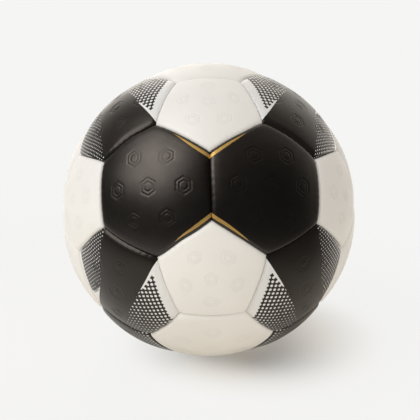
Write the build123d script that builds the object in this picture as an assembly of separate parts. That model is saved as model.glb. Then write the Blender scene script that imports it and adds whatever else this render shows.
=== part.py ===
from build123d import *
from itertools import combinations, product
from math import cos, degrees, pi, radians, sin, sqrt, tan
import os

# Handball, size 2: thirty-two sewn panels over a rubber bladder with a needle valve.
# Millimetres, +Z up, the viewer on -Y, origin at the middle of the ball.

# Driving sizes of the ball and its layers
ball_circumference = 550.0
skin_thickness = 1.2
foam_thickness = 3.2
lining_thickness = 0.8
bladder_thickness = 0.9
panel_crown = 0.9
fold_radius = 1.3
pad_edge_radius = 1.0
seam_gap = 0.3
glue_line = 0.05
bladder_clearance = 0.1

# Driving sizes of the sewing
thread_diameter = 0.7
thread_clearance = 0.06
stitches_per_seam = 6
stitch_end_margin = 5.0
stitch_height = 0.8
stitch_pinch = 0.8

# Driving sizes of the valve
needle_bore_diameter = 2.0
needle_bore_depth = 9.0
core_diameter = 4.8
core_head_diameter = 6.4
core_head_height = 1.2
core_tip_length = 2.5
slit_width = 3.0
slit_gap = 0.3
stem_diameter = 8.8
valve_recess = 0.4
barrel_length = 8.0
valve_flange_diameter = 22.0
valve_flange_thickness = 1.2
valve_clearance = 0.06

# Radii of the layers at the middle of a panel, counted inwards from the outside
ball_radius = ball_circumference / (2 * pi)
foam_top = ball_radius - skin_thickness - glue_line
lining_top = foam_top - foam_thickness - glue_line
lining_floor = lining_top - lining_thickness
bladder_radius = lining_floor - bladder_clearance
bladder_inside = bladder_radius - bladder_thickness

# The sewing runs in a channel between the turned-in skin and the pads
stitch_channel = thread_diameter + 2 * thread_clearance
skin_inset = seam_gap / 2
cavity_inset = skin_inset + skin_thickness
pad_inset = cavity_inset + stitch_channel
stitch_radius = lining_floor + stitch_height
rail_offset = cavity_inset + thread_clearance + thread_diameter / 2

# Directions of the panels in ball axes: each family is one direction and its mirror images
golden = (1 + sqrt(5)) / 2
families = [
    ("black_hexagon", (1 / golden, golden, 0)),
    ("dotted_hexagon", (1, 1, 1)),
    ("white_hexagon", (0, 1 / golden, golden)),
    ("white_hexagon", (golden, 0, 1 / golden)),
    ("white_pentagon", (0, golden, 1)),
    ("white_pentagon", (golden, 1, 0)),
    ("dotted_pentagon", (1, 0, golden)),
]
valve_panel = "white_hexagon_back_upper"


def mirror_images(direction):
    """All copies of a direction under a change of sign of its coordinates."""
    choices = [(c,) if c == 0 else (-c, c) for c in direction]
    return [Vector(*signed) for signed in product(*choices)]


def place_words(direction):
    """Where a panel lies on the ball, in words, from the signs of its direction."""
    depth = "front" if direction.Y < 0 else "back" if direction.Y > 0 else ""
    height = "upper" if direction.Z > 0 else "lower" if direction.Z < 0 else ""
    side = "left" if direction.X < 0 else "right" if direction.X > 0 else ""
    return "_".join(word for word in (depth, height, side) if word)


panels = []
for finish, direction in families:
    sides = 5 if finish.endswith("pentagon") else 6
    for image in mirror_images(direction):
        panels.append((f"{finish}_{place_words(image)}", sides, image))

# Seams: corners lie a third of the way from each pentagon to its neighbours
pentagons = [direction for _, sides, direction in panels if sides == 5]
pentagon_spacing = min((pentagons[0] - other).length for other in pentagons[1:])
corners = []
for centre, other in product(pentagons, pentagons):
    if 0 < (centre - other).length < 1.1 * pentagon_spacing:
        corners.append(centre + (other - centre) / 3)
seams = [pair for pair in combinations(corners, 2) if (pair[0] - pair[1]).length < 0.4 * pentagon_spacing]
seam_half_angle = radians(seams[0][0].get_angle(seams[0][1])) / 2

# The ball is tipped so that the middle of a hexagon points straight up
top_hexagon = Vector(0, -1 / golden, golden)
tip = Rot(-top_hexagon.get_angle(Vector(0, 0, 1)), 0, 0)


def seat(direction):
    """Where a panel modelled about +Z goes, with an edge of it towards the nearest seam."""
    middles = [(a + b) / 2 for a, b in seams]
    nearest = min(middles, key=direction.get_angle)
    return tip * Plane((0, 0, 0), x_dir=nearest, z_dir=direction).location


def edge_angle(sides):
    """Angle at the ball's middle between a panel's axis and the middle of its edge."""
    direction = next(d for _, n, d in panels if n == sides)
    return radians(min(direction.get_angle(a + b) for a, b in seams))


def ball(radius, height=0):
    """Sphere whose poles and seam line stay clear of the panel at +Z."""
    return Pos(0, 0, height) * Rot(0, 90, 0) * Sphere(radius)


def wedge(sides, inset, radius, height=0):
    """Piece of a sphere between the walls of one panel, moved in from the seam planes."""
    angle = edge_angle(sides)
    body = split(ball(radius, height), Plane((0, 0, 0.75 * ball_radius)), keep=Keep.TOP)
    for step in range(sides):
        turn = 2 * pi * step / sides
        outward = Vector(cos(angle) * cos(turn), cos(angle) * sin(turn), -sin(angle))
        body = split(body, Plane(outward * -inset, z_dir=outward), keep=Keep.BOTTOM)
    return body


def crown_radius(sides):
    """Radius of the panel's face, whose edge lies panel_crown below the ball's sphere."""
    edge = ball_radius - panel_crown
    across = cos(edge_angle(sides))
    return (edge**2 + ball_radius**2 - 2 * edge * ball_radius * across) / (2 * (ball_radius - edge * across))


def cushion(sides, drop, inset, shoulder):
    """Padded shape drop below the outside: a crowned face with a rounded shoulder along every edge."""
    radius = crown_radius(sides)
    body = wedge(sides, inset, radius - drop, ball_radius - radius)
    return fillet(body.faces().sort_by(Axis.Z)[-1].edges(), shoulder)


def stitch_angles():
    """Angles of the stitches along a seam, from its middle."""
    reach = seam_half_angle - stitch_end_margin / stitch_radius
    return [reach * (2 * step / (stitches_per_seam - 1) - 1) for step in range(stitches_per_seam)]


def across_seam(width, start, end):
    """One square rod per stitch, across the seam plane; the seam's middle is on +Z and it runs along X."""
    rods = []
    for angle in stitch_angles():
        centre = (stitch_radius * sin(angle), start, stitch_radius * cos(angle))
        spot = Plane(centre, x_dir=(cos(angle), 0, -sin(angle)), z_dir=(0, 1, 0))
        rods.append(spot * Box(width, width, end - start, align=low_centre))
    return rods


def panel_edges(sides):
    """Where the seams of a panel about +Z lie; +Y of each place points into the panel."""
    angle = edge_angle(sides)
    for step in range(sides):
        turn = 2 * pi * step / sides
        middle = (sin(angle) * cos(turn), sin(angle) * sin(turn), cos(angle))
        yield Plane((0, 0, 0), x_dir=(-sin(turn), cos(turn), 0), z_dir=middle).location


def cover(sides):
    """Grip skin of one panel: crowned face, rounded shoulder, edge turned in and pierced for the sewing."""
    shell = cushion(sides, 0, skin_inset, fold_radius + skin_thickness)
    shell -= cushion(sides, skin_thickness, cavity_inset, fold_radius)
    shell -= ball(lining_floor)
    hole = thread_diameter + 2 * thread_clearance
    punches = across_seam(hole, 0, cavity_inset + stitch_channel / 2)
    return shell - [place * punch for place in panel_edges(sides) for punch in punches]


def foam_pad(sides):
    """Foam under the skin, crowned with it and cut back at the sewing."""
    pad = cushion(sides, skin_thickness + glue_line, pad_inset, pad_edge_radius)
    return pad - ball(lining_top + glue_line)


def lining(sides):
    """Woven backing of one panel, flush with the end of the turned-in skin."""
    return wedge(sides, pad_inset, lining_top) - ball(lining_floor)


def valve_hole(diameter):
    """Round opening on +Z, from inside the bladder to beyond the skin."""
    return Pos(0, 0, ball_radius) * Cylinder(diameter / 2, ball_radius)


def valve_body():
    """Rubber stem through the panel, with a curved flange inside the bladder and a barrel below it."""
    flange_top = bladder_inside - glue_line
    flange = ball(flange_top) & valve_hole(valve_flange_diameter)
    flange -= ball(flange_top - valve_flange_thickness)
    barrel_floor = bladder_inside - barrel_length
    top = ball_radius - valve_recess
    stem = Pos(0, 0, barrel_floor) * Cylinder(stem_diameter / 2, top - barrel_floor, align=low_centre)
    seat_floor = top - core_head_height
    head = Pos(0, 0, seat_floor) * Cylinder(core_head_diameter / 2 + valve_clearance, ball_radius, align=low_centre)
    return flange + stem - valve_hole(core_diameter + 2 * valve_clearance) - head


def valve_core():
    """Plug of the valve: head, shank, blind needle bore and the slit that lets air through its tip."""
    top = ball_radius - valve_recess
    floor = bladder_inside - barrel_length - core_tip_length
    shank = Pos(0, 0, floor) * Cylinder(core_diameter / 2, top - floor, align=low_centre)
    head = Pos(0, 0, top) * Cylinder(core_head_diameter / 2, core_head_height - valve_clearance, align=high_centre)
    bore = Pos(0, 0, top) * Cylinder(needle_bore_diameter / 2, needle_bore_depth, align=high_centre)
    slit = Pos(0, 0, top - needle_bore_depth) * Box(slit_width, slit_gap, ball_radius, align=high_centre)
    return shank + head - bore - slit


def seam_thread():
    """Saddle stitch of one seam: a flat run of thread each side, joined by the stitches through the edges."""
    end = stitch_angles()[-1] + thread_diameter / stitch_radius
    half = thread_diameter / 2
    ladder = across_seam(stitch_pinch * thread_diameter, half - rail_offset, rail_offset - half)
    for side in (-rail_offset, rail_offset):
        section = Plane((0, side, stitch_radius), z_dir=(1, 0, 0)) * Rectangle(thread_diameter, thread_diameter)
        ladder.append(Rot(0, -degrees(end), 0) * revolve(section, Axis.Y, 2 * degrees(end)))
    return ladder[0] + ladder[1:]


low_centre = (Align.CENTER, Align.CENTER, Align.MIN)
high_centre = (Align.CENTER, Align.CENTER, Align.MAX)
os.makedirs("parts", exist_ok=True)


def save(node, solids):
    """Writes one named node, a single solid or a group of separate ones."""
    shape = solids[0] if len(solids) == 1 else Compound(solids)
    export_step(shape, f"parts/{node}.step")


# Cover panels, one node each, with the pads and backings that lie under them
stem_hole = valve_hole(stem_diameter + 2 * valve_clearance)
for sides, word in ((5, "pentagon"), (6, "hexagon")):
    shapes = {"cover": cover(sides), "foam_pads": foam_pad(sides), "linings": lining(sides)}
    layers = {"foam_pads": [], "linings": []}
    for node, count, direction in panels:
        if count != sides:
            continue
        place = seat(direction)
        cut = {name: shape - stem_hole if node == valve_panel else shape for name, shape in shapes.items()}
        save(node, [place * cut["cover"]])
        for name in layers:
            layers[name].append(place * cut[name])
    for name, solids in layers.items():
        save(f"{word}_{name}", solids)

# Bladder and valve, on the axis of the valve's panel
valve_seat = next(seat(direction) for node, _, direction in panels if node == valve_panel)
save("bladder", [valve_seat * (ball(bladder_radius) - ball(bladder_inside) - stem_hole)])
save("valve_body", [valve_seat * valve_body()])
save("valve_core", [valve_seat * valve_core()])

# Sewing, one run of stitches per seam
ladder = seam_thread()
runs = [tip * Plane((0, 0, 0), x_dir=b - a, z_dir=a + b).location * ladder for a, b in seams]
save("seam_threads", runs)
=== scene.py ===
# %% [markdown]
# A sewn handball, dressed for a photograph. The CAD model already holds every
# piece at its real size: thirty-two cover panels, the foam and backing under
# them, the sewing, the bladder and the valve. This lesson loads that model as
# a fixed frame and gives each soft piece a finer mesh and each surface a finish.

# %% Load the frame
import functools
import itertools
import math

import bmesh
import bpy
import numpy as np
from mathutils import Matrix, Vector


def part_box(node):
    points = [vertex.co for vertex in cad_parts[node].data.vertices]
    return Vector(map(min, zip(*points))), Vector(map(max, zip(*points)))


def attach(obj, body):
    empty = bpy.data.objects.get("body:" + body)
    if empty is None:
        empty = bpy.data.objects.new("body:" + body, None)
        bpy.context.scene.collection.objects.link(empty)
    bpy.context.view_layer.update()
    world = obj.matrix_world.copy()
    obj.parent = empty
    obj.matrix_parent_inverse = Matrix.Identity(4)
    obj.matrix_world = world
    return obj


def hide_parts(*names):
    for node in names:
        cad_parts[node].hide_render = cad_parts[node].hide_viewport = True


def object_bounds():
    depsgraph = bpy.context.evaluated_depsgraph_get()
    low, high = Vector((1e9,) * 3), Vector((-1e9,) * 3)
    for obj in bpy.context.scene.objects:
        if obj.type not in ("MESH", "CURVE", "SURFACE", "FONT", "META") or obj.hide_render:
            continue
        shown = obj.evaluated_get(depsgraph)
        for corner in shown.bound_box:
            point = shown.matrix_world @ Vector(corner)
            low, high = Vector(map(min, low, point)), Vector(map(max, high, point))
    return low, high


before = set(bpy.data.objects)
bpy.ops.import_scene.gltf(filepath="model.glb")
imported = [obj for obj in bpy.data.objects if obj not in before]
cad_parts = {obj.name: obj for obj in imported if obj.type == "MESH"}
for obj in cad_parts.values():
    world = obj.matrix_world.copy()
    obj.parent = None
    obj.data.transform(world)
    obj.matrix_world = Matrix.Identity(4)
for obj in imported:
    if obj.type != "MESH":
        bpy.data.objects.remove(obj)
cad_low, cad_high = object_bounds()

MM = 0.001
ball_radius = cad_high[2] / MM
print("CAD nodes", len(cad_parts), "ball radius in mm", round(ball_radius, 2))

# %% [markdown]
# The panels are the faces of a truncated icosahedron: twelve pentagons, and
# twenty hexagons between them. A list of thirty-two directions would do, but
# they come in families, where one direction and its mirror images give every
# panel of a kind. Each family also says which way its print points (`along`)
# and where the print's upper side is (`above`), so that one printed design lands
# correctly on all of its panels.

# %% Panel directions
golden = (1 + math.sqrt(5)) / 2
families = [
    ("black_hexagon", 6, (1 / golden, golden, 0), (0, 1, 0), (0, 0, 1)),
    ("dotted_hexagon", 6, (1, 1, 1), (1 / golden, golden, 0), (0, golden, 1)),
    ("white_hexagon", 6, (0, 1 / golden, golden), (0, golden, 1), (1, 0, golden)),
    ("white_hexagon", 6, (golden, 0, 1 / golden), (golden, 1, 0), (1, 0, golden)),
    ("white_pentagon", 5, (0, golden, 1), (0, 0, 1), (1, 0, 0)),
    ("white_pentagon", 5, (golden, 1, 0), (1, 0, 0), (0, 0, 1)),
    ("dotted_pentagon", 5, (1, 0, golden), (0, 0, 1), (0, 1, 0)),
]


def unit(vector):
    return np.asarray(vector, float) / np.linalg.norm(vector)


def square_to(vector, *axes):
    """The part of a vector that is square to the given unit axes, at length one."""
    for axis in axes:
        vector = vector - axis * np.dot(vector, axis)
    return unit(vector)


def place_words(direction):
    """Where a panel lies on the ball, in words, as the CAD nodes are named."""
    x, y, z = np.sign(np.round(direction, 6))
    words = {-1: ("left", "front", "lower"), 1: ("right", "back", "upper"), 0: ("", "", "")}
    return "_".join(word for word in (words[y][1], words[z][2], words[x][0]) if word)


# The ball is tipped about X until the middle of a hexagon points straight up.
tip_angle = math.atan2(1 / golden, golden)
tip = np.array(Matrix.Rotation(-tip_angle, 3, "X"))

panels = []
for finish, sides, direction, along, above in families:
    choices = [(1,) if part == 0 else (-1, 1) for part in direction]
    for signs in itertools.product(*choices):
        outward = unit(np.multiply(direction, signs))
        u_axis = square_to(np.multiply(along, signs), outward)
        v_axis = square_to(np.multiply(above, signs), outward, u_axis)
        name = f"{finish}_{place_words(np.multiply(direction, signs))}"
        panel = {"name": name, "finish": finish, "colour": finish.split("_")[0]}
        panels.append(panel | {"sides": sides, "out": outward, "u": u_axis, "v": v_axis})

missing = [panel["name"] for panel in panels if panel["name"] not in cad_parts]
print("panels", len(panels), "without a CAD node", missing)

# %% [markdown]
# Seen from the middle of the ball, each seam lies in a plane. So a panel is
# drawn flat, as a regular polygon on a plane that touches the ball, and every
# point is pushed out along its ray. Straight lines on the flat drawing become
# the great circles that the seams follow. The face is not pushed out to the ball
# itself: it bulges on a smaller radius of its own, as a filled panel does.

# %% Seams and crowns
edge_angle = {6: tip_angle}
pentagon = next(p["out"] for p in panels if p["sides"] == 5)
nearest_hexagon = max(np.dot(pentagon, p["out"]) for p in panels if p["sides"] == 6)
edge_angle[5] = math.acos(nearest_hexagon) - edge_angle[6]
panel_crown = 0.9


def crown_radius(sides):
    """Radius of a panel's face, whose edge lies panel_crown below the ball."""
    edge = ball_radius - panel_crown
    cosine = math.cos(edge_angle[sides])
    chord_square = edge**2 + ball_radius**2 - 2 * edge * ball_radius * cosine
    return chord_square / (2 * (ball_radius - edge * cosine))


def crown_level(sides, cosine):
    """Height of the crowned face on a ray at that cosine to the panel's axis."""
    radius = crown_radius(sides)
    shift = ball_radius - radius
    return shift * cosine + np.sqrt(radius**2 - shift**2 * (1 - cosine**2))


def outline(sides, count):
    """Points once round the flat panel, count to a side, and their shares of the side."""
    if count == 0:
        return np.zeros((1, 2)), np.zeros(1)
    turns = 2 * math.pi * (np.arange(sides) + 0.5) / sides
    reach = math.tan(edge_angle[sides]) / math.cos(math.pi / sides)
    starts = reach * np.stack([np.cos(turns), np.sin(turns)], 1)
    ends = np.roll(starts, -1, 0)
    share = np.arange(count) / count
    points = starts[:, None] * (1 - share)[:, None] + ends[:, None] * share[:, None]
    return points.reshape(-1, 2), np.tile(share, sides)


print("edge angles", {n: round(math.degrees(a), 3) for n, a in edge_angle.items()})

# %% [markdown]
# Sewing pulls differently on each kind of seam, so a panel has to know its
# neighbours. They could be typed in, but looking for the nearest panel just past
# the middle of each side is shorter and can't be mistyped. Each panel also gets
# its own flat axes, of which the first points at the middle of a side.

# %% Neighbours
past_seam = 1.3


def neighbour(panel, side):
    """The panel beyond one side: the nearest to a point just past that side's middle."""
    turn = 2 * math.pi * (side + 1) / panel["sides"]
    aside = panel["x"] * math.cos(turn) + panel["y"] * math.sin(turn)
    beyond = panel["out"] + aside * math.tan(past_seam * edge_angle[panel["sides"]])
    others = [p for p in panels if p is not panel]
    return max(others, key=lambda other: np.dot(other["out"], beyond))


for panel in panels:
    across = [p["out"] for p in panels if p["sides"] != panel["sides"]]
    nearest = max(across, key=lambda other: np.dot(other, panel["out"]))
    panel["x"] = square_to(nearest, panel["out"])
    panel["y"] = np.cross(panel["out"], panel["x"])
for panel in panels:
    panel["beside"] = [neighbour(panel, side)["colour"] for side in range(panel["sides"])]
print("colours beside", panels[0]["name"], panels[0]["beside"])

# %% [markdown]
# A panel's mesh is a stack of closed rows. Rows of a lattice fill the crowned
# face, each with one more point to a side than the last. Then rows roll over
# the shoulder, go down the turned-in edge, round its end and back up the
# inside. A subdivided polygon would be quicker to make, but the lattice has
# another use: the grip's embossed rings run along its own lines, so the relief
# is real geometry with straight, clean edges. A row says how many points a side
# gets, its share of the face, its distance from the seam's plane, and its height,
# as a drop below the crowned face or a level over the middle of the ball.

# %% Rows of a cover panel
lattice = 56
skin_thickness = 1.2
press_gap = 0.06
shoulder_width = {"white": 2.3, "black": 2.3, "dotted": 3.4}
shoulder_depth = 1.0
shoulder_lean = math.radians(72)
shoulder_steps = 10
edge_drop = 3.5 * shoulder_depth
fold_radius = 1.3
fold_steps = 4
fold_drop = skin_thickness + 1.5 * fold_radius
inside_shares = (0.999, 0.8, 0.6, 0.4)
bladder_clearance = 0.1
lining_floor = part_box("bladder")[1][2] / MM + bladder_clearance
plain_row = {"share": 1.0, "seam": 0.0, "drop": None, "level": None}
plain_row |= {"outside": False, "ring": None}


def row(count, **place):
    """One row: its points to a side, and whatever sets it apart from a plain row."""
    return {"count": count} | plain_row | place


def rolled(count, near, high, width, depth, steps, lean=math.pi / 2, outside=False):
    """Rows over a rounded edge, from the drop high down to the seam distance near."""
    rows = []
    for step in range(1, steps + 1):
        turn = lean * step / steps
        seam = near + width * (1 - math.sin(turn) / math.sin(lean))
        drop = high + depth * (1 - math.cos(turn)) / (1 - math.cos(lean))
        rows.append(row(count, seam=seam, drop=drop, outside=outside))
    return rows


def cover_rows(width, first_ring):
    """All rows of a cover, from the middle of its face round to that of its underside."""
    face, inner = press_gap + width, press_gap + skin_thickness
    rows = [
        row(n, share=n / lattice, seam=face, drop=0, outside=True, ring=n)
        for n in range(first_ring, lattice + 1)
    ]
    shoulder = (width, shoulder_depth, shoulder_steps, shoulder_lean)
    rows += rolled(lattice, press_gap, 0, *shoulder, outside=True)
    rows.append(row(lattice, seam=press_gap, drop=edge_drop))
    rows += [row(lattice, seam=seam, level=lining_floor) for seam in (press_gap, inner)]
    rows.append(row(lattice, seam=inner, drop=fold_drop))
    rows += rolled(lattice, inner, skin_thickness, fold_radius, fold_radius, fold_steps)[::-1]
    for share in (*inside_shares, first_ring / lattice):
        count = round(lattice * share)
        rows.append(row(count, share=share, seam=inner + fold_radius, drop=skin_thickness))
    return rows


print("rows of a cover", len(cover_rows(shoulder_width["black"], 0)))

# %% [markdown]
# Neighbouring rows are zipped together with triangles. Blender can bridge edge
# loops too, but it chooses the pairs itself. This zip walks along each side of
# the polygon and always takes the shorter step, so it joins rows of any two
# lengths, and the single point in the middle of a face as well.


# %% Zip rows into faces
def zip_rows(sides, low, low_count, high, high_count):
    """Triangles between two closed rows that start at vertices low and high."""

    def at(start, count, step):
        return start + (side * count + step) % max(sides * count, 1)

    faces = []
    for side in range(sides):
        a, b = 0, 0
        while a < low_count or b < high_count:
            here, there = at(low, low_count, a), at(high, high_count, b)
            shorter = (b + 1) * low_count <= (a + 1) * high_count
            if a == low_count or (b < high_count and shorter):
                b += 1
                faces.append((here, there, at(high, high_count, b)))
            else:
                a += 1
                faces.append((here, there, at(low, low_count, a)))
    return faces


def zip_all(sides, rows, ring_closed):
    """Triangles of a whole stack of rows, closed through its hole if it has one."""
    counts = [r["count"] for r in rows]
    starts = np.cumsum([0] + [max(sides * count, 1) for count in counts])
    order = [*range(len(rows)), 0] if ring_closed else range(len(rows))
    faces = []
    for one, other in itertools.pairwise(order):
        faces += zip_rows(sides, starts[one], counts[one], starts[other], counts[other])
    return np.array(faces, np.int32)[:, ::-1]


print("triangles between hexagons of 2 and 3 points to a side", len(zip_rows(6, 0, 2, 12, 3)))

# %% [markdown]
# Sewn padding is never quite even. A cloth simulation would swell one pad well,
# but thirty-two simulated panels would no longer meet at their seams. So the
# softness is a set of formulas that lower the outside of a panel. First, slow
# waves let the whole face swell and sink by a tenth of a millimetre or two, and
# the shoulder dips at every stitch. Both are seeded by the panel's place in the
# list, so they come out the same on every run.

# %% Waves and stitches
wave_depth = 0.12
wave_count = 6
wave_turns = (4, 11)
wave_fade = 6
stitches_per_seam = 9
pucker_depth = 0.15
pucker_reach = 2.4
pucker_seed = 500
uneven_share, uneven_waves = 0.25, 3
whole_turn = 2 * math.pi


def slow_waves(seed, flat):
    """Uneven swelling of a face, in millimetres, as a sum of long waves."""
    draw = np.random.RandomState(seed)
    total = np.zeros(len(flat))
    for _ in range(wave_count):
        heading = draw.uniform(0, whole_turn)
        waves = draw.uniform(*wave_turns)
        phase = draw.uniform(0, whole_turn)
        ahead = flat[:, 0] * math.cos(heading) + flat[:, 1] * math.sin(heading)
        total += np.sin(waves * ahead + phase)
    return wave_depth * total / math.sqrt(wave_count)


def puckers(seed, share, seam):
    """Dip of the shoulder towards each stitch, fading away from the seam."""
    draw = np.random.RandomState(seed + pucker_seed)
    uneven = np.sin(whole_turn * (share * uneven_waves + draw.uniform(0, 1)))
    pull = 0.5 + 0.5 * np.cos(whole_turn * stitches_per_seam * share)
    depth = pucker_depth * (1 - uneven_share + uneven_share * uneven)
    return depth * pull * np.exp(-seam / pucker_reach)


swell = np.ptp(slow_waves(0, outline(6, lattice)[0]))
print("swell along the edge of the first panel in mm", round(float(swell), 3))

# %% [markdown]
# Next come the dips that the sewing leaves. Each face sinks a little towards all
# of its seams, and more towards a corner, where three panels are drawn in. The
# dark panels of the real ball swell the most, so between two of them the face
# also falls in a long, gentle roll, which catches the light as a soft band.

# %% Dips at seams and corners
sink_depth, sink_reach = 0.35, 2.6
corner_dip, corner_reach = 0.6, 1.8
roll_depth = {("black", "black"): 0.4, ("black", "dotted"): 0.22}
roll_reach = 6.5


def seam_sink(sides, share, seam):
    """Dip towards the seams, with an extra dip where three panels meet."""
    side = 2 * ball_radius * math.tan(edge_angle[sides]) * math.tan(math.pi / sides)
    away = np.hypot(np.minimum(share, 1 - share) * side, seam)
    return sink_depth * np.exp(-seam / sink_reach) + corner_dip * np.exp(-away / corner_reach)


def soft_roll(panel, count, share, seam):
    """Long, gentle fall towards a seam between two dark panels."""
    pairs = [tuple(sorted((panel["colour"], other))) for other in panel["beside"]]
    depths = np.repeat([roll_depth.get(pair, 0) for pair in pairs], max(count, 1))
    bowed = depths[: len(share)] * np.sqrt(np.sin(math.pi * share))
    return bowed * np.clip(1 - seam / roll_reach, 0, 1) ** 2


print("dip at a corner in mm", round(float(seam_sink(6, 0.0, 0.0)), 2))

# %% [markdown]
# No seam of a sewn ball is dead straight. Moving each panel's edge by itself
# would open gaps, so this step moves points by their place in space: both edges
# of a seam lie at the same place and drift together. The drift is a sum of slow
# waves, and two stronger pushes are added to it. A full black panel bows its
# seam into the charcoal one beside it, and two corners of the front were drawn
# aside in the sewing.

# %% Drift of the seams
wander_depth = 0.22
wander_length = 16.0
wander_spread = (0.7, 1.6)
wander_seed = 7
bow_depth, bow_reach = 1.1, 9.0
touching = 2.1
corner_pulls = {
    "white_pentagon_front_upper": (-0.6, 0.3),
    "white_pentagon_front_lower": (-0.3, -0.9),
}


def directions(finish):
    return [p["out"] for p in panels if p["finish"] == finish]


def bowed_seams():
    """Middle and push of each seam between a black and a dotted hexagon."""
    pairs = itertools.product(directions("black_hexagon"), directions("dotted_hexagon"))
    for black, other in pairs:
        if np.dot(black, other) > math.cos(touching * edge_angle[6]):
            yield tip @ unit(black + other) * ball_radius, tip @ unit(other - black) * bow_depth


def pulled_corners():
    """Place and push of each corner where a named pentagon meets two black panels."""
    for name, (sideways, up) in corner_pulls.items():
        middle = next(p["out"] for p in panels if p["name"] == name)
        blacks = sorted(directions("black_hexagon"), key=lambda out: -np.dot(out, middle))
        corner = tip @ unit(middle + blacks[0] + blacks[1]) * ball_radius
        yield corner, np.array([sideways, 0, up])


def wander(points):
    """Small sideways drift of the outside of the ball, none at its backings."""
    draw = np.random.RandomState(wander_seed)
    drift = np.zeros_like(points)
    for _ in range(wave_count):
        heading, push = unit(draw.normal(size=3)), draw.normal(size=3)
        waves = whole_turn / (wander_length * draw.uniform(*wander_spread))
        phase = draw.uniform(0, whole_turn)
        drift += np.sin(points @ heading * waves + phase)[:, None] * push
    height = np.linalg.norm(points, axis=1)
    outward = points / height[:, None]
    drift -= outward * (drift * outward).sum(1)[:, None]
    drift *= wander_depth / math.sqrt(wave_count)
    for middle, push in itertools.chain(bowed_seams(), pulled_corners()):
        away = ((outward * ball_radius - middle) ** 2).sum(1)
        drift += np.exp(-away / (2 * bow_reach**2))[:, None] * push
    share = np.clip((height - lining_floor) / (ball_radius - lining_floor), 0, 1)
    return points + drift * share[:, None]


print("bowed seams", len(list(bowed_seams())), "pulled corners", len(list(pulled_corners())))

# %% [markdown]
# The grip of the skin is embossed. Here its figure is a plain double ring, once
# in the middle of a panel and once towards each side. A bump in the material
# would fade in a side view, so the rings are pressed into the mesh. On a lattice
# of triangles, a ring is every point that lies a given number of steps from its
# middle, which makes it a small hexagon, or a pentagon in a pentagon's middle.

# %% Embossed rings
ring_sizes = (4, 7)
ring_place = 0.6
emboss_depth = 0.2


def emboss(sides, ring, hole):
    """One on an embossed ring, else nought; a valve takes the middle ring's place."""
    step = np.tile(np.arange(ring), sides)
    near = round(lattice * ring_place)
    across, over = ring - near, step - near // 2
    spread = np.maximum(np.maximum(abs(across), np.abs(over)), np.abs(across - over))
    return (np.isin(spread, ring_sizes) | (ring in ring_sizes and not hole)).astype(float)


pressed = sum(emboss(6, ring, False).sum() for ring in range(1, lattice + 1))
print("points of a hexagon on a ring", int(pressed))

# %% [markdown]
# Now every row can be placed. Its flat points are scaled in from the seam, sent
# out along their rays to their height, lowered by the softness, and tipped with
# the ball. One panel has a hole for the valve: there the first rows are eased
# from a hexagon into a circle. Two more results go along with the points, the
# place of each on the print, in millimetres, and the relief.

# %% Points of one panel
valve_ring = 8
valve_hole = 4.45
round_from, round_span, round_slope = 0.45, 0.3, 0.4
tiny = 1e-9


def opened(flat, share, scale):
    """Scale of a row of the valve's panel, eased towards a circle near the middle."""
    rounding = np.clip((round_from - share) / round_span, 0, 1)
    reach = np.linalg.norm(flat, axis=1) * scale
    wanted = valve_hole / ball_radius + (share - valve_ring / lattice) * round_slope
    return scale * (1 - rounding + rounding * wanted / np.maximum(reach, tiny))


def lowered(panel, seed, count, flat, share, seam, relief):
    """How far sewing, embossing and slack lower the outside of one row."""
    low = puckers(seed, share, seam) + emboss_depth * relief
    low = low + seam_sink(panel["sides"], share, seam) + soft_roll(panel, count, share, seam)
    slack = np.minimum(slow_waves(seed, flat) - wave_depth, 0)
    return low - slack * np.clip(seam / wave_fade, 0, 1)


def panel_points(panel, rows, seed, hole=False):
    """Places on the tipped ball, printing coordinates and relief of each vertex, in mm."""
    sides = panel["sides"]
    slope = ball_radius * math.sin(edge_angle[sides])
    parts = []
    for r in rows:
        flat, share = outline(sides, r["count"])
        depth = np.sqrt((flat**2).sum(1) + 1)
        scale = r["share"] * (1 - r["seam"] * depth / slope)
        if hole:
            scale = opened(flat, r["share"], scale)
        flat = flat * scale[:, None]
        length = np.sqrt((flat**2).sum(1) + 1)
        seam = (1 - scale) * slope / depth
        relief = emboss(sides, r["ring"], hole) if r["ring"] else np.zeros(len(flat))
        if r["level"] is None:
            level = crown_level(sides, 1 / length) - r["drop"]
        else:
            level = np.full(len(flat), r["level"])
        if r["outside"]:
            level = level - lowered(panel, seed, r["count"], flat, share, seam, relief)
        aside = flat[:, :1] * panel["x"] + flat[:, 1:] * panel["y"]
        place = (aside + panel["out"]) / length[:, None] * level[:, None]
        turn = np.arccos(np.clip(1 / length, -1, 1))
        arc = ball_radius * turn / np.maximum(np.linalg.norm(flat, axis=1), tiny)
        u, v = (arc * (aside @ panel[axis]) for axis in ("u", "v"))
        parts.append((place, np.stack([u, v, seam], 1), relief))
    places, prints, reliefs = (np.concatenate(each) for each in zip(*parts))
    return places @ tip.T, prints, reliefs


first_points = panel_points(panels[0], cover_rows(shoulder_width["black"], 0), 0)[0]
print("points of", panels[0]["name"], len(first_points))

# %% [markdown]
# Panels of one shape share their faces and differ only in where their points
# lie, so the faces are zipped once per shape and copied. Building each panel
# with mesh operators would take longer and give the same result. Each mesh also
# carries two attributes for its finish: `print_mm`, the place on the panel in
# millimetres with the distance to the seam, and `relief`, the embossing.


# %% Build the cover panels
def new_mesh(name, points, faces):
    mesh = bpy.data.meshes.new(name)
    mesh.from_pydata((points * MM).tolist(), [], faces.tolist())
    mesh.polygons.foreach_set("use_smooth", np.ones(len(mesh.polygons), bool))
    mesh.update()
    return mesh


def add_attribute(mesh, name, kind, key, values):
    layer = mesh.attributes.new(name, kind, "POINT")
    layer.data.foreach_set(key, np.asarray(values, np.float32).ravel())


def show(name, mesh):
    piece = bpy.data.objects.new(name, mesh)
    bpy.context.scene.collection.objects.link(piece)
    return piece


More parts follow.
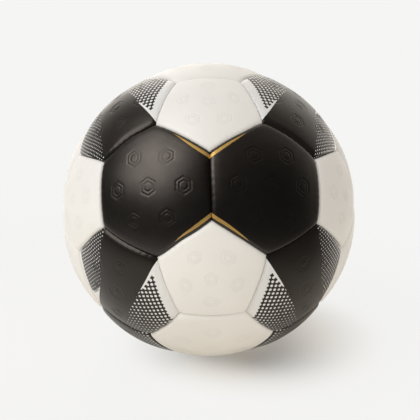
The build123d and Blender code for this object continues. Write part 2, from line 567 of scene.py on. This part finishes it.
valve_panel = "white_hexagon_back_upper"
widths = sorted(set(shoulder_width.values()))
starts = (0, valve_ring)
stacks = {pair: cover_rows(*pair) for pair in itertools.product(widths, starts)}
shapes = ((5, 0), (6, 0), (6, valve_ring))
nets = {(n, start): zip_all(n, stacks[widths[0], start], start > 0) for n, start in shapes}
covers = {}
for seed, panel in enumerate(panels):
    start = valve_ring if panel["name"] == valve_panel else 0
    rows = stacks[shoulder_width[panel["colour"]], start]
    points, prints, reliefs = panel_points(panel, rows, seed, start > 0)
    mesh = new_mesh(f"cover_{panel['name']}", wander(points), nets[panel["sides"], start])
    add_attribute(mesh, "print_mm", "FLOAT_VECTOR", "vector", prints)
    add_attribute(mesh, "relief", "FLOAT", "value", reliefs)
    covers[panel["name"]] = show(mesh.name, mesh)
triangles = sum(len(cover.data.polygons) for cover in covers.values())
print("covers", len(covers), "triangles", triangles)

# %% [markdown]
# Finishes are node materials. They could be drawn in the node editor, but their
# maths reads best as plain Python. A `Signal` wraps one socket: adding or
# comparing signals adds the Math nodes, with numbers on either side. A `Tree`
# owns the nodes, and its one `add` method makes any other node.


# %% Shader maths
def operator(operation, flipped=False):
    """A method that adds one Math node, with its values in turn or flipped."""

    def method(self, *others):
        values = (self, *others)[::-1] if flipped else (self, *others)
        return self.tree.add("ShaderNodeMath", {"operation": operation}, dict(enumerate(values)))

    return method


class Signal:
    """One value inside a tree of nodes; arithmetic on it adds Math nodes."""

    def __init__(self, tree, socket):
        self.tree, self.socket = tree, socket

    __add__ = __radd__ = operator("ADD")
    __mul__ = __rmul__ = operator("MULTIPLY")
    __sub__, __rsub__ = operator("SUBTRACT"), operator("SUBTRACT", flipped=True)
    __truediv__, __rtruediv__ = operator("DIVIDE"), operator("DIVIDE", flipped=True)
    __gt__, __lt__ = operator("GREATER_THAN"), operator("LESS_THAN")
    __abs__, __floor__ = operator("ABSOLUTE"), operator("FLOOR")
    fraction, sine, larger = operator("FRACT"), operator("SINE"), operator("MAXIMUM")


class Tree:
    """A tree of shader nodes, for a material or for the world."""

    def __init__(self, tree):
        self.tree = tree

    def feed(self, socket, value):
        """Links a signal to a socket, or sets a plain value on it."""
        if isinstance(value, Signal):
            self.tree.links.new(value.socket, socket)
        else:
            socket.default_value = value

    def add(self, kind, settings=None, inputs=None, output=0):
        """Adds a node: settings first, then the values or links of its sockets."""
        node = self.tree.nodes.new(kind)
        for key, value in (settings or {}).items():
            setattr(node, key, value)
        for key, value in (inputs or {}).items():
            self.feed(node.inputs[key], value)
        return Signal(self, node.outputs[output])

    def split(self, vector):
        """The three parts of a vector."""
        kind = "ShaderNodeSeparateXYZ"
        return [self.add(kind, {}, {0: vector}, output=axis) for axis in range(3)]

    def ramp(self, value, low, high):
        """Nought below low and one above high, with a soft step between."""
        settings = {"interpolation_type": "SMOOTHSTEP", "clamp": True}
        sockets = {"Value": value, "From Min": low, "From Max": high}
        return self.add("ShaderNodeMapRange", settings, sockets)

    def blend(self, factor, first, second):
        """Mixes two colours."""
        mixed = {"data_type": "RGBA", "clamp_factor": True}
        return self.add("ShaderNodeMix", mixed, {0: factor, 6: first, 7: second}, output=2)

    def choose(self, factor, first, second):
        """Mixes two shaders."""
        return self.add("ShaderNodeMixShader", {}, {0: factor, 1: first, 2: second})

    def finish_with(self, shader):
        """Makes a shader the surface of the material or world."""
        output = next(node for node in self.tree.nodes if node.type.startswith("OUTPUT"))
        self.feed(output.inputs["Surface"], shader)


def colour(red, green, blue):
    """A colour as read from a screen, 0 to 255, turned into the light it stands for."""
    shares = [part / 255 for part in (red, green, blue)]
    light = [((s + 0.055) / 1.055) ** 2.4 if s > 0.04 else s / 12.92 for s in shares]
    return (*light, 1.0)


print("a middle grey as light", [round(part, 3) for part in colour(128, 128, 128)])

# %% [markdown]
# Every finish of the ball is one Principled shader with a few textures, so a
# `Finish` is a tree that starts with that shader. Its methods give what all of
# them use: attributes of the mesh, clouds of noise, scattered cells for grain,
# an uneven roughness, and a bump. Sizes are in millimetres on the real ball.


# %% A finish
class Finish(Tree):
    """A node material with one Principled shader."""

    def __init__(self, name, **constants):
        self.material = bpy.data.materials.new(name)
        self.material.use_nodes = True
        super().__init__(self.material.node_tree)
        self.shader = self.tree.nodes["Principled BSDF"]
        self.wear(**constants)

    def wear(self, **sockets):
        """Feeds the shader's own sockets by name."""
        for name, value in sockets.items():
            self.feed(self.shader.inputs[name.replace("_", " ")], value)

    def attribute(self, name, output="Fac"):
        return self.add("ShaderNodeAttribute", {"attribute_name": name}, output=output)

    def print_place(self):
        """Place on the print, along and across, and the distance to the seam."""
        return self.split(self.attribute("print_mm", "Vector"))

    def place(self):
        return self.add("ShaderNodeTexCoord", output="Object")

    def noise(self, size_mm, detail=3.0):
        """Cloudy values from nought to one, with clouds of about that size."""
        sockets = {"Vector": self.place(), "Scale": 1 / (size_mm * MM), "Detail": detail}
        return self.add("ShaderNodeTexNoise", {}, sockets)

    def cells(self, size_mm):
        """Distance to the nearest of scattered points, for pebbled grain."""
        sockets = {"Vector": self.place(), "Scale": 1 / (size_mm * MM)}
        return self.add("ShaderNodeTexVoronoi", {"feature": "F1"}, sockets)

    def uneven(self, size_mm, least, spread):
        """A value that wanders in clouds of about that size, for roughness."""
        return self.noise(size_mm) * spread + least

    def bump(self, height, depth_mm, strength=1.0):
        sockets = {"Height": height, "Distance": depth_mm * MM, "Strength": strength}
        return self.add("ShaderNodeBump", {}, sockets, output="Normal")


print("methods of a finish", [name for name in vars(Finish) if not name.startswith("_")])

# %% [markdown]
# The grip skin is a thin polyurethane with a fine pebble. White panels are a
# warm, slightly uneven white, with painted shade that greys the seams and the
# embossed rings. The pebble is far too fine to model, so it is a bump, while
# the embossed rings are in the mesh.

# %% White grip skin
pebble_size, pebble_share = 0.62, 0.7
grain_size, grain_share, grain_detail = 0.25, 0.5, 2.0
pebble_strength = 0.6
white_tints = colour(240, 237, 231), colour(234, 230, 223)
# Painted shade: a grey that the white fades into at its seams and in its embossed rings.
painted_shade_tint = colour(168, 160, 149)
seam_shade_reach = (0.1, 1.2)
seam_painted_shade, ring_painted_shade = 0.08, 0.1


def pebble(skin, depth_mm):
    """Fine grain of the skin: small cells, softened by a finer cloud."""
    grain = skin.noise(grain_size, grain_detail) * grain_share
    return skin.bump(skin.cells(pebble_size) * pebble_share + grain, depth_mm, pebble_strength)


def white_skin():
    skin = Finish("white_skin", Specular_IOR_Level=0.4)
    seam = skin.print_place()[2]
    # Painted shade: the white greys towards the seams, where shade falls in the crease.
    dust_and_painted_shade = (1 - skin.ramp(seam, *seam_shade_reach)) * seam_painted_shade
    # Painted shade in the recessed embossed rings.
    dust_and_painted_shade = dust_and_painted_shade + skin.attribute("relief") * ring_painted_shade
    base = skin.blend(skin.noise(size_mm=26.0), *white_tints)
    skin.wear(
        Base_Color=skin.blend(dust_and_painted_shade, base, painted_shade_tint),
        Roughness=skin.uneven(size_mm=7.0, least=0.42, spread=0.16),
        Normal=pebble(skin, depth_mm=0.03),
    )
    return skin.material


skins = {"white_hexagon": white_skin()}
skins["white_pentagon"] = skins["white_hexagon"]
print("nodes of the white skin", len(skins["white_hexagon"].node_tree.nodes))

# %% [markdown]
# Black panels carry two narrow gold stripes. Each starts at the seam between
# the two black hexagons of a pair and runs beside the edge to a pentagon,
# tapering to a point. A strip of mesh could carry the gold, but ink has no
# thickness. So a stripe is the overlap of a few half planes in the panel's own
# millimetres, and folding the panel about its middle makes both.

# %% Black grip skin with gold stripes
slant_cos, slant_sin = math.cos(math.pi / 6), 0.5
hexagon_reach = ball_radius * math.atan(math.tan(edge_angle[6]) / slant_cos)
stripe_length = 22.5
stripe_margins = (1.5, 0.9)
stripe_width = 1.85
stripe_edge = (-0.08, 0.08)
black_tints = colour(6, 6, 6), colour(10, 9, 9)
gold_tints = colour(222, 183, 106), colour(196, 155, 82)
gold_metal = 0.7
gold_roughness = 0.12


def gold_stripe(skin, u, v):
    """One inside the stripes beside the two edges at the panel's right-hand corners."""
    back, out = hexagon_reach * slant_cos - u, abs(v) - hexagon_reach / 2
    share = (back * slant_cos + out * slant_sin) / stripe_length
    into = back * slant_sin - out * slant_cos
    start, end = stripe_margins
    near = start + (end - start) * share
    far = near + stripe_width * (1 - share * share)
    between = skin.ramp(into - near, *stripe_edge) * skin.ramp(far - into, *stripe_edge)
    return between * (share < 1)


def black_skin():
    skin = Finish("black_skin", Specular_IOR_Level=0.68, Specular_Tint=colour(255, 239, 225))
    u, v, _ = skin.print_place()
    stripe = gold_stripe(skin, u, v)
    base = skin.blend(skin.noise(size_mm=30.0), *black_tints)
    gold = skin.blend(skin.noise(size_mm=0.5), *gold_tints)
    rough = skin.uneven(size_mm=6.0, least=0.3, spread=0.14)
    skin.wear(
        Base_Color=skin.blend(stripe, base, gold),
        Metallic=stripe * gold_metal,
        Roughness=rough + stripe * gold_roughness,
        Normal=pebble(skin, depth_mm=0.035),
    )
    return skin.material


skins["black_hexagon"] = black_skin()
print("nodes of the black skin", len(skins["black_hexagon"].node_tree.nodes))

# %% [markdown]
# Charcoal panels carry a halftone: a pale corner that breaks into a lattice of
# pale dots, and the dots shrink until the panel is plain. On a hexagon this
# wedge comes twice, turned half round. The near one is a coarse, square lattice.
# The far one is finer, its rows are shifted by half a step, and it lies in a
# strip along the edge. On every other panel the far one leans further and its
# pale corner is cut back. Dots of mesh would be far too many, and an image would
# need a file, so the lattice is arithmetic. A dot's size is worked out at the
# middle of its cell, so every dot keeps four equal sides, and the pale corner
# ends in steps.

# %% Lattices of dots
dot_pitch = 2.45
near_wedge = {"sizes": (0.7, 0.005, -0.0103), "line": (0.263, 1.3), "apex": 9.95, "slope": 0.743}
near_wedge |= {"turn": math.radians(25.8), "pitch": dot_pitch, "stagger": 0.0}
far_wedge = {"sizes": (0.435, -0.0085, -0.012), "line": (0.242, 0.0), "apex": 7.3, "slope": 0.5}
far_wedge |= {"turn": math.radians(25.0), "pitch": 1.96, "stagger": 0.5}
cut_wedge = far_wedge | {"apex": 14.0, "turn": math.radians(36.0)}
strip_line = 26.0
lattice_shift = 40.0
square_share = 0.6
dot_edge = (-0.03, 0.04)
ink_edge = (-0.06, 0.06)


def in_cells(distance, pitch=dot_pitch):
    """Middle of the nearest dot, nearest crossing of the dark lattice, offset in pitches."""
    steps = distance / pitch + lattice_shift
    dot = (math.floor(steps) + (0.5 - lattice_shift)) * pitch
    crossing = (math.floor(steps + 0.5) - lattice_shift) * pitch
    return dot, crossing, abs(steps.fraction() - 0.5)


def dots(skin, aside, up, size):
    """One inside a square with eased corners, of a size given in pitches."""
    square = aside.larger(up) * square_share + (aside + up) * (1 - square_share)
    return skin.ramp(size * 0.5 - square, *dot_edge)


def wedge(skin, u, v, clear, sizes, line, apex, slope, turn, pitch, stagger):
    """One where pale ink lies in the wedge near the panel's right-hand upper corner."""
    rise, lift = line
    start = hexagon_reach / 2 - rise * hexagon_reach * slant_cos + lift
    inside = skin.ramp(v - u * rise - start, *ink_edge)
    along = u * math.cos(turn) - v * math.sin(turn)
    below = strip_line - u * math.sin(turn) - v * math.cos(turn)
    row_pitch = pitch * math.sqrt(1 - stagger**2)
    dot_below, crossing_below, up = in_cells(below, row_pitch)
    slide = dot_below * (stagger * pitch / row_pitch)
    dot_along, crossing_along, aside = in_cells(along + slide, pitch)
    corner = crossing_along - slide + crossing_below * slope > apex
    solid = corner.larger(crossing_below < 0)
    size = sizes[0] + (dot_along - slide) * sizes[1] + dot_below * sizes[2]
    return inside * solid.larger(dots(skin, aside, up, size) * clear)


print("pitches of the dots in mm", near_wedge["pitch"], far_wedge["pitch"])

# %% [markdown]
# The skin itself is charcoal, a little browner and smoother than the black, and
# polished where it is stretched over the shoulder. The pentagons at the sides
# have a simpler print, dots along two edges, but the same skin. So one function
# makes all charcoal finishes and is told which print to lay on.

# %% Charcoal grip skin
far_start, far_fall, far_margin = 11.0, 0.18, 0.5
edge_dot, edge_fade, edge_margin = 0.55, 0.035, 1.3
charcoal_tints = colour(22, 20, 18), colour(28, 26, 23)
pale_tints = colour(231, 230, 228), colour(224, 223, 220)
polish_reach = (0.8, 5.0)
polish_gain = 0.1


def two_wedges(skin, u, v, seam, second):
    """The near wedge and, turned half round, the far one in its strip along the edge."""
    strip = skin.ramp((v + u * far_fall) * -1 - far_start, *ink_edge)
    clear = skin.ramp(seam - far_margin, *ink_edge)
    far = wedge(skin, u * -1, v * -1, clear, **second) * strip
    return wedge(skin, u, v, 1.0, **near_wedge).larger(far)


def edge_dots(skin, u, v):
    """One where pale dots lie along two neighbouring edges of a pentagon."""
    turn = math.pi / 5
    along = abs(v) * math.cos(turn) - u * math.sin(turn)
    below = ball_radius * edge_angle[5] - u * math.cos(turn) - abs(v) * math.sin(turn)
    aside = in_cells(along)[2]
    dot_below, _, up = in_cells(below - edge_margin)
    size = edge_dot - dot_below * edge_fade
    return dots(skin, aside, up, size) * (below > edge_margin)


def dotted_skin(name, second=None):
    """Charcoal with two wedges, the second as given, or with dots along two edges."""
    skin = Finish(name, Specular_IOR_Level=0.4, Specular_Tint=colour(255, 240, 224))
    u, v, seam = skin.print_place()
    ink = two_wedges(skin, u, v, seam, second) if second else edge_dots(skin, u, v)
    cloud = skin.noise(size_mm=30.0)
    base, pale = (skin.blend(cloud, *tints) for tints in (charcoal_tints, pale_tints))
    polish = (1 - skin.ramp(seam, *polish_reach)) * polish_gain
    skin.wear(
        Base_Color=skin.blend(ink, base, pale),
        Roughness=skin.uneven(size_mm=6.0, least=0.3, spread=0.12) - polish,
        Normal=pebble(skin, depth_mm=0.035),
    )
    return skin.material


skins["dotted_hexagon"] = dotted_skin("dotted_hexagon_skin", far_wedge)
skins["dotted_pentagon"] = dotted_skin("dotted_pentagon_skin")
cut_skin = dotted_skin("dotted_hexagon_skin_cut", cut_wedge)
print("nodes of the charcoal skin", len(cut_skin.node_tree.nodes))

# %% [markdown]
# Each cover now takes its skin and stands in for its CAD node, which stays for
# collisions and is no longer seen. The charcoal hexagons come in two hands, like
# gloves, and the sign of the product of a panel's three directions tells which
# hand it is.

# %% Dress the panels
for panel in panels:
    cover = covers[panel["name"]]
    cut = panel["finish"] == "dotted_hexagon" and np.prod(panel["out"]) > 0
    cover.data.materials.append(cut_skin if cut else skins[panel["finish"]])
    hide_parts(panel["name"])
    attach(cover, "root")
print("skins", sorted({cover.data.materials[0].name for cover in covers.values()}))

# %% [markdown]
# Under each skin lie a foam pad and a woven backing. Nobody sees them while
# the ball is whole, but a part that is taken apart should still look right. The
# CAD solids could be kept, but soft pieces want rounded meshes. They use the same
# rows as the covers, with a coarser lattice and no sewing pulls.

# %% Foam pads and backings
pad_lattice = 14
pad_hole = 2
pad_inset = 2.17
pad_edge_radius = 1.0
pad_edge_steps = 3
glue_line = 0.05
pad_drop = skin_thickness + glue_line
lining_thickness = 0.8
lining_top = lining_floor + lining_thickness
under_shares = (0.7, 0.4)


def layer_face(first, **place):
    """Rows of a layer's upper face, from the middle or the valve's hole to its rim."""
    return [row(n, share=n / pad_lattice, **place) for n in range(first, pad_lattice + 1)]


def underside(first, level):
    """Rows of a layer's underside, from its rim to the middle or to the valve's hole."""
    shares = [1, *under_shares, first / pad_lattice]
    place = {"seam": pad_inset, "level": level}
    return [row(round(pad_lattice * share), share=share, **place) for share in shares]


def pad_rows(first):
    face = layer_face(first, seam=pad_inset + pad_edge_radius, drop=pad_drop)
    radii = (pad_edge_radius, pad_edge_radius)
    edge = rolled(pad_lattice, pad_inset, pad_drop, *radii, pad_edge_steps)
    return face + edge + underside(first, lining_top + glue_line)


def lining_rows(first):
    face = layer_face(first, seam=pad_inset, level=lining_top)
    return face + underside(first, lining_floor)


def layer(name, sides, make_rows):
    """One mesh with the pads or backings of every panel that has so many sides."""
    parts, faces, count = [], [], 0
    for panel in (p for p in panels if p["sides"] == sides):
        pierced = panel["name"] == valve_panel
        rows = make_rows(pad_hole if pierced else 0)
        parts.append(panel_points(panel, rows, 0, pierced))
        faces.append(zip_all(sides, rows, pierced) + count)
        count += len(parts[-1][0])
    points, prints, _ = (np.concatenate(each) for each in zip(*parts))
    mesh = new_mesh(name, points, np.concatenate(faces))
    add_attribute(mesh, "print_mm", "FLOAT_VECTOR", "vector", prints)
    piece = show(name, mesh)
    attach(piece, "root")
    return piece


layers = []
for sides, word in ((5, "pentagon"), (6, "hexagon")):
    pads = layer(f"{word}_pads", sides, pad_rows)
    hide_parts(f"{word}_foam_pads")
    backings = layer(f"{word}_backings", sides, lining_rows)
    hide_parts(f"{word}_linings")
    layers += [pads, backings]
print("layers", {piece.name: len(piece.data.polygons) for piece in layers})

# %% [markdown]
# The foam is open-celled and the backing is a plain weave. Real holes and yarns
# would cost millions of faces for something inside the ball. So scattered cells
# make the pores, and two crossed sine waves on the print's millimetres make the
# weave, both as colour and as bump.

# %% Foam and weave
weave_pitch = 0.55
foam_tints = colour(196, 192, 184), colour(226, 223, 216)
yarn_tints = colour(176, 171, 160), colour(214, 209, 198)


def foam_finish():
    foam = Finish("pad_foam", Specular_IOR_Level=0.2)
    pores = foam.cells(size_mm=0.5)
    foam.wear(
        Base_Color=foam.blend(pores, *foam_tints),
        Roughness=foam.uneven(size_mm=4.0, least=0.85, spread=0.1),
        Normal=foam.bump(pores, depth_mm=0.12),
    )
    return foam.material


def weave_finish():
    cloth = Finish("backing_weave", Specular_IOR_Level=0.2)
    u, v, _ = cloth.print_place()
    across, up = ((part * (math.pi / weave_pitch)).sine() for part in (u, v))
    yarn = across * up * 0.5 + 0.5
    cloth.wear(
        Base_Color=cloth.blend(yarn, *yarn_tints),
        Roughness=cloth.uneven(size_mm=3.0, least=0.8, spread=0.1),
        Normal=cloth.bump(yarn, depth_mm=0.08),
    )
    return cloth.material


foam, weave = foam_finish(), weave_finish()
for piece in layers:
    piece.data.materials.append(foam if piece.name.endswith("pads") else weave)
print("layer finishes", [piece.data.materials[0].name for piece in layers])

# %% [markdown]
# The bladder, the valve and the thread keep their CAD shapes, because those are
# right already. They only need finishes: dull bladder rubber with a bloom of
# talc, the valve's smoother rubber, and a waxed, twisted thread. Each is built
# from one or two noises at the size of the real grain.

# %% Finishes of the kept CAD nodes
talc_reach = (0.45, 0.75)
talc_roughness = 0.2
twist_turn = (0.6, 0.4, 0.7)
twist_scale, twist_distortion = 0.8 / MM, 1.5
thread_tints = colour(58, 55, 52), colour(92, 88, 82)


def rubber_finish(name, dark, bloom, grain_mm, talc):
    rubber = Finish(name, Specular_IOR_Level=0.4)
    dust_and_painted_shade = rubber.ramp(rubber.noise(size_mm=9.0), *talc_reach) * talc
    rough = rubber.uneven(size_mm=2.0, least=0.5, spread=0.15)
    rubber.wear(
        Base_Color=rubber.blend(dust_and_painted_shade, dark, bloom),
        Roughness=rough + dust_and_painted_shade * talc_roughness,
        Normal=rubber.bump(rubber.noise(grain_mm), depth_mm=0.02),
    )
    return rubber.material


def thread_finish():
    thread = Finish("waxed_thread", Specular_IOR_Level=0.4)
    turned = {"Vector": thread.place(), "Rotation": twist_turn}
    wave = {"Vector": thread.add("ShaderNodeMapping", {}, turned)}
    wave |= {"Scale": twist_scale, "Distortion": twist_distortion}
    twist = thread.add("ShaderNodeTexWave", {}, wave, output="Fac")
    thread.wear(
        Base_Color=thread.blend(twist, *thread_tints),
        Roughness=twist * 0.1 + 0.45,
        Normal=thread.bump(twist, depth_mm=0.05),
    )
    return thread.material


bladder_tints = colour(52, 48, 46), colour(150, 144, 136)
valve_tints = colour(30, 29, 28), colour(84, 80, 76)
core_tints = colour(22, 21, 21), colour(64, 61, 58)
kept_nodes = {
    "bladder": rubber_finish("bladder_rubber", *bladder_tints, grain_mm=0.6, talc=0.6),
    "valve_body": rubber_finish("valve_rubber", *valve_tints, grain_mm=0.3, talc=0.25),
    "valve_core": rubber_finish("core_rubber", *core_tints, grain_mm=0.3, talc=0.2),
    "seam_threads": thread_finish(),
}
for node, finish in kept_nodes.items():
    for material_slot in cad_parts[node].material_slots:
        material_slot.material = finish
print("kept CAD nodes", {n: len(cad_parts[n].material_slots) for n in kept_nodes})

# %% [markdown]
# The ball lies on pale paper that runs out into a pale backdrop. A large floor
# under strong light would give that too, but the light would bleach the ball.
# So the floor is a disc that fades out before its rim, and rays that show it
# see plain paper colour, mixed in from the edge of the shadow outward. The
# shadow is an oval, so the mix follows the mean distance from two points. Rays
# that are mirrored by the skin get a mix of their own, round a point behind the
# ball and to its right, to suit what the lower panels mirror of the floor.

# %% Floor
floor_radius = 0.52
floor_segments = 96
floor_middle = (-0.12, 0.03, 0.0)
floor_fade = (0.2, 0.42)
shade_ends = ((0.0205, -0.021, 0.0), (0.034, 0.054, 0.0))
shade_reach = (0.025, 0.099)
mirror_middle = (0.12, 0.08, 0.0)
mirror_reach = (0.08, 0.36)
least_paper, most_paper = 0.08, 0.93
paper_tints = colour(243, 237, 225), colour(247, 241, 230)
backdrop_tint = colour(245, 245, 244)
floor_finish = Finish("floor_paper", Roughness=0.9, Specular_IOR_Level=0.1)


def seen_by(tree, *kinds):
    """One for rays of those kinds, nought for rays that light something."""
    rays = [tree.add("ShaderNodeLightPath", output=f"Is {kind} Ray") for kind in kinds]
    return functools.reduce(lambda one, other: one.larger(other), rays)


def floor_distance(*spots):
    """Mean distance over the floor from one or two points on it."""
    kind, measure = "ShaderNodeVectorMath", {"operation": "DISTANCE"}
    ends = [{0: floor_finish.place(), 1: spot} for spot in spots]
    return sum(floor_finish.add(kind, measure, end, output="Value") for end in ends) / len(spots)


def paper_share(reach, *spots):
    """How much plain paper a ray sees, growing outward from those points."""
    outward = floor_finish.ramp(floor_distance(*spots), *reach)
    return outward * (most_paper - least_paper) + least_paper


paper = floor_finish.blend(floor_finish.noise(size_mm=3.0), *paper_tints)
floor_finish.wear(Base_Color=paper)
lit = Signal(floor_finish, floor_finish.shader.outputs[0])
glow = floor_finish.add("ShaderNodeEmission", {}, {"Color": backdrop_tint})
clear = floor_finish.add("ShaderNodeBsdfTransparent")
seen = seen_by(floor_finish, "Camera", "Transmission") * paper_share(shade_reach, *shade_ends)
mirrored = seen_by(floor_finish, "Glossy") * paper_share(mirror_reach, mirror_middle)
lit = floor_finish.choose(seen.larger(mirrored), lit, glow)
fade = floor_finish.ramp(floor_distance(floor_middle), *floor_fade)
floor_finish.finish_with(floor_finish.choose(fade, lit, clear))

floor_mesh = bpy.data.meshes.new("floor")
shape = bmesh.new()
bmesh.ops.create_circle(shape, cap_ends=True, segments=floor_segments, radius=floor_radius)
shape.to_mesh(floor_mesh)
shape.free()
floor_mesh.materials.append(floor_finish.material)
floor = show("floor", floor_mesh)
floor.location.z = cad_low[2]
print("floor at", round(floor.location.z, 5))

# %% [markdown]
# The world is the studio. One even white room would grey every black panel,
# because glossy skin mirrors it all over. The real studio was bright behind the
# ball and dim in front, so the world's light is strongest behind, comes further
# round on the right than on the left, and leaves a faint glow overhead. Rays from
# the camera, also through something clear, see the plain, pale backdrop instead.

# %% World
right_turn = (-0.2, 0.3)
left_turn, left_least = (-0.6, -0.2), 0.35
behind_start, behind_round = 0.3, 0.4
behind_strength, right_loss = 2.7, 1.2
overhead, overhead_strength = (0.5, 1.0), 0.15
room_strength = 0.05
room_tint = colour(255, 249, 241)
scene = bpy.context.scene
scene.view_settings.view_transform = "Standard"
world = bpy.data.worlds.new("studio")
scene.world = world
world.use_nodes = True
studio = Tree(world.node_tree)
x, y, z = studio.split(studio.add("ShaderNodeTexCoord", output="Generated"))
right = studio.ramp(x, *right_turn)
behind = studio.ramp(y, behind_start - right * behind_round, 1.0)
behind = behind * (behind_strength - right * right_loss)
behind = behind * (studio.ramp(x, *left_turn) * (1 - left_least) + left_least)
strength = behind + studio.ramp(z, *overhead) * overhead_strength + room_strength
light = studio.add("ShaderNodeBackground", {}, {"Color": room_tint, "Strength": strength})
backdrop = studio.add("ShaderNodeBackground", {}, {"Color": backdrop_tint})
studio.finish_with(studio.choose(seen_by(studio, "Camera", "Transmission"), light, backdrop))
print("nodes of the world", len(world.node_tree.nodes))

# %% [markdown]
# Three soft lamps do the rest. A key lamp from the upper left draws the white
# panels and the broad sheen on the black. Two fills, from the front right and
# from the left, lift the lower panels. The fills would show as extra patches on
# the glossy skin, so they are kept out of its reflections.

# %% Lamps
key_lamp = ("key_lamp", (-0.796, -0.551, 0.918), 1.0, 12.9, (0.975, 0.985, 1.0))
fill_lamps = [
    ("front_fill", (0.75, -1.13, 0.04), 1.2, 10.5, (1.0, 0.97, 0.93)),
    ("side_fill", (-1.3, -0.4, 0.1), 1.0, 4.8, (0.98, 0.985, 1.0)),
]


def lamp(name, place, size, power, tint):
    """Square area lamp, turned to the ball."""
    data = bpy.data.lights.new(name, "AREA")
    data.size, data.energy, data.color = size, power, tint
    thing = bpy.data.objects.new(name, data)
    scene.collection.objects.link(thing)
    thing.location = place
    thing.rotation_euler = (-Vector(place)).to_track_quat("-Z", "Y").to_euler()
    return thing


lamp(*key_lamp)
for fill in fill_lamps:
    lamp(*fill).visible_glossy = False

# %% [markdown]
# The camera stands where the photograph was taken: close, with a short
# telephoto lens, looking slightly down. It could be aimed with a constraint, but
# the ball's tilt in the picture was measured as three small turns in front of a
# level camera, so its place is worked out from those.

# %% Camera
lens, sensor_width = 64.85, 36.0
camera_distance, camera_aside, camera_above = 0.458, 0.00067, 0.00006
camera_pitch, camera_roll, camera_yaw = (math.radians(a) for a in (-8.43, -1.11, 0.75))

level_view = Matrix.Rotation(camera_pitch, 3, "X") @ Matrix.Rotation(camera_roll, 3, "Y")
level_view = level_view @ Matrix.Rotation(camera_yaw, 3, "Z") @ Matrix.Rotation(tip_angle, 3, "X")
to_ball = level_view.transposed()
stand = to_ball @ Vector((camera_aside, -camera_distance, camera_above))
turned = (to_ball @ Matrix.Rotation(math.pi / 2, 3, "X")).to_4x4()
camera = bpy.data.objects.new("camera", bpy.data.cameras.new("camera"))
camera.data.lens = lens
camera.data.sensor_width = sensor_width
camera.matrix_world = Matrix.Translation(stand) @ turned
scene.collection.objects.link(camera)
scene.camera = camera
print("camera at", [round(c, 4) for c in camera.matrix_world.translation])

# %% [markdown]
# The dressed ball has to stay inside the box of the CAD model, or the two would
# no longer be the same part.
